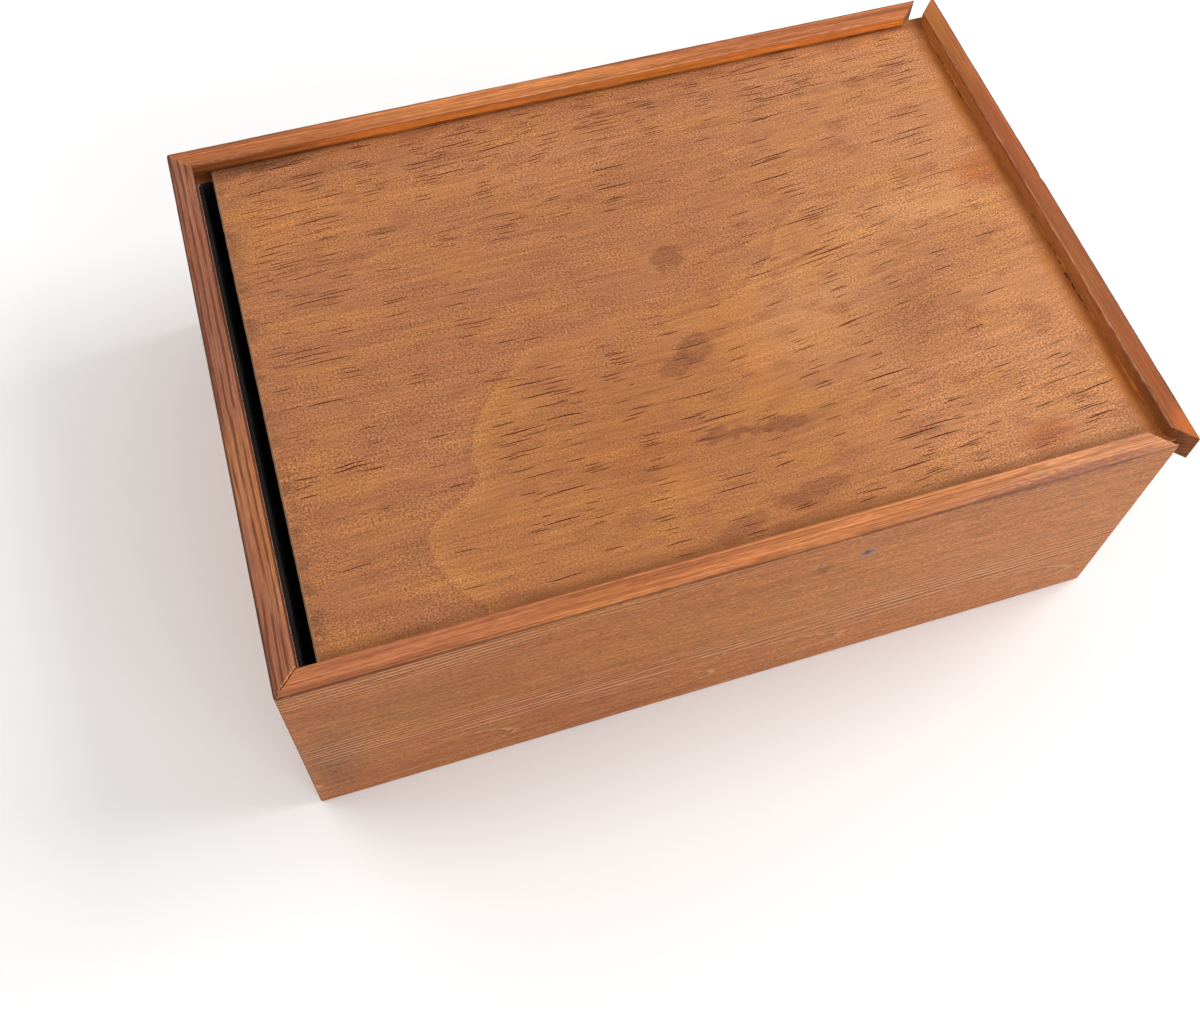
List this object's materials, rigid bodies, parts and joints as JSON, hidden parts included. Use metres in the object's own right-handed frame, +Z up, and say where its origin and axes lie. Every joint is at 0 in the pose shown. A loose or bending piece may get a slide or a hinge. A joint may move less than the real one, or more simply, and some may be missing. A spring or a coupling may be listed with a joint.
{
  "type": "sliding lid box",
  "caption": "Lined wooden jewelry box with mitred walls and a flat plywood lid that slides out along grooves by a pull rail at one end.",
  "frame": {"origin": "centre of the flat underside of the box body, below the middle of its interior", "axes": "+X along the long side, the way the lid slides open; +Y towards the rear wall; +Z up"},
  "size_m": [0.2875, 0.2, 0.1],
  "materials": {
    "stained_pine": "brown stain, satin, open grain",
    "rail_pine": "redder brown stain, satin, worn edges",
    "lid_plywood": "golden brown stain on plywood, satin",
    "base_plywood": "lightly stained plywood, matt",
    "lining_card": "pale pulp board, matt",
    "black_velvet": "short black pile"
  },
  "bodies": {
    "box": {"front_wall": "stained_pine", "rear_wall": "stained_pine", "left_end_wall": "stained_pine", "right_end_wall": "stained_pine", "base_panel": "base_plywood", "front_liner_card": "lining_card", "rear_liner_card": "lining_card", "left_liner_card": "lining_card", "right_liner_card": "lining_card", "floor_liner_card": "lining_card", "front_velvet": "black_velvet", "rear_velvet": "black_velvet", "left_velvet": "black_velvet", "right_velvet": "black_velvet", "floor_velvet": "black_velvet"},
    "lid": {"lid_panel": "lid_plywood", "lid_pull_rail": "rail_pine"}
  },
  "joints": [
    {"name": "lid_slide", "type": "slide", "parent": "box", "child": "lid", "axis": [1, 0, 0], "range_m": [-0.007, 0.27]}
  ]
}
